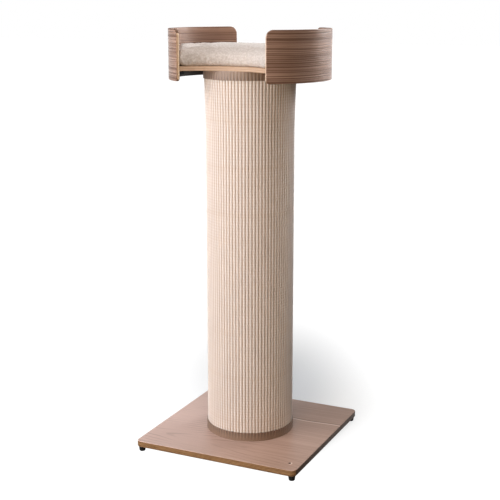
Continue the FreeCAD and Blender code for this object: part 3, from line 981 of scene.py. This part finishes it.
def pull(piece, spot, move, reach):
    """Pull the vertex nearest to a spot, and its neighbours softly with it."""
    bpy.ops.object.mode_set(mode="EDIT")
    nearest = min((v.co for v in piece.data.vertices), key=lambda co: (co - spot).length).copy()
    select_where(piece.data, lambda co: (co - nearest).length < 1e-6)
    bpy.ops.transform.translate(value=move, use_proportional_edit=True, proportional_size=reach,
                                proportional_edit_falloff="SMOOTH", use_proportional_connected=True)
    bpy.ops.object.mode_set(mode="OBJECT")


def round_axis(degrees, side):
    """The level direction at an angle from the front, to the left (-1) or the right (1)."""
    return Vector((side * math.sin(math.radians(degrees)), -math.cos(math.radians(degrees)), 0))


tall = cushion_high.z - cushion_low.z
for side in (-1, 1):
    for degrees in (CORNER_ANGLE, 180.0 - CORNER_ANGLE):
        outward = round_axis(degrees, side)
        for share, rise in CORNER_LEVELS:
            spot = outward * wall_inner + Vector((0, 0, cushion_low.z + share * tall))
            pull(cushion, spot, outward * CORNER_PULL + Vector((0, 0, rise)), CORNER_REACH)
    for degrees in RIM_ANGLES:
        spot = round_axis(degrees, side) * wall_inner + Vector((0, 0, cushion_low.z + RIM_LEVEL * tall))
        pull(cushion, spot, Vector((0, 0, RIM_RISE[side])), RIM_REACH)
for degrees in CREASE_ANGLES:
    spot = round_axis(degrees, -1) * CREASE_RADIUS + Vector((0, 0, cushion_high.z))
    pull(cushion, spot, Vector((0, 0, -CREASE_DROP)), CREASE_REACH)
print("Cushion reaches", round(max(math.hypot(v.co.x, v.co.y) for v in cushion.data.vertices), 4))

# %% [markdown]
# Boucle is knitted from a looped yarn, so its surface is knobbly in the hand. Particles would make
# real loops at a great cost. Two Displace modifiers are enough: broad lumps from the stuffing and
# small cells for the loops. Last, the cushion is kept off the board below it and the walls beside it,
# and its lowest part is drawn in a little, as a seam does, which leaves a thin shadow on the board.

# %% Raise the boucle loops
LOOP_SIZE = 0.005
LOOP_RISE = 0.0024
LUMP_SIZE = 0.03
LUMP_RISE = 0.0016
TUCK = 0.02
TUCK_HEIGHT = 0.009


def displace(piece, name, kind, size, rise):
    """Push a piece's surface in and out by a solid texture."""
    lumps = bpy.data.textures.new(name, kind)
    lumps.noise_scale = size
    push = piece.modifiers.new(name, "DISPLACE")
    push.texture = lumps
    push.texture_coords = "LOCAL"
    push.strength = rise
    push.mid_level = 0.5
    bpy.ops.object.modifier_apply(modifier=push.name)


finer = cushion.modifiers.new("finer", "SUBSURF")
finer.levels = 1
finer.render_levels = 1
bpy.ops.object.modifier_apply(modifier=finer.name)
displace(cushion, "lumps", "CLOUDS", LUMP_SIZE, LUMP_RISE)
displace(cushion, "loops", "VORONOI", LOOP_SIZE, -LOOP_RISE)
wall_limit = wall_inner - WALL_CLEARANCE
for vertex in cushion.data.vertices:
    vertex.co.z = max(vertex.co.z, cushion_low.z + BOARD_CLEARANCE)
    low_share = max(0.0, 1 - (vertex.co.z - cushion_low.z) / TUCK_HEIGHT)
    tucked = 1 - TUCK * low_share ** 2
    vertex.co.x *= tucked
    vertex.co.y *= tucked
    reach = math.hypot(vertex.co.x, vertex.co.y)
    if reach > wall_limit:
        vertex.co.x *= wall_limit / reach
        vertex.co.y *= wall_limit / reach
bpy.ops.object.shade_smooth()
cushion_top = max(v.co.z for v in cushion.data.vertices)
print("Cushion faces", len(cushion.data.polygons), "top", round(cushion_top, 4))

# %% [markdown]
# The yarn is a warm off-white. Between the loops it is in its own shade, so small cells darken the
# hollows, and a finer noise with a twist in it draws the yarn. A little sheen makes it look soft.

# %% Boucle finish
CURL_SCALE = 190.0
YARN_SCALE = 420.0
PATCH_SCALE = 36.0
YARN_DULL = tint(198, 188, 182)
YARN_PALE = tint(208, 198, 192)
HOLLOW_SHADE = tint(164, 149, 139)


def boucle_finish():
    paint = new_paint("boucle", specular_ior_level=0.15, sheen_weight=0.25, sheen_roughness=0.6)
    x, y, z = place_of(paint)
    here = point(paint, x, y, z)
    curls = paint.node("TexVoronoi", {"feature": "SMOOTH_F1"},
                       {"Vector": here, "Scale": CURL_SCALE, "Smoothness": 0.6, "Randomness": 1.0})
    yarn = noise(paint, here, scale=YARN_SCALE, detail=3.0, roughness=0.6, warp=1.2)
    patch = noise(paint, here, scale=PATCH_SCALE, detail=2.0)
    hollow = step(paint, curls, 0.28, 0.62)
    light = mix(paint, patch, YARN_DULL, YARN_PALE)
    colour = mix(paint, hollow * 0.35 + yarn * 0.15, light, HOLLOW_SHADE)
    relief = (1 - curls) * 0.8 + yarn * 0.35
    return wear(paint, colour, 0.9, bump(paint, relief, 0.0015, 0.5))


cushion.data.materials.clear()
cushion.data.materials.append(boucle_finish())
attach(cushion, "cushion")
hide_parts("cushion_cover", "cushion_foam")
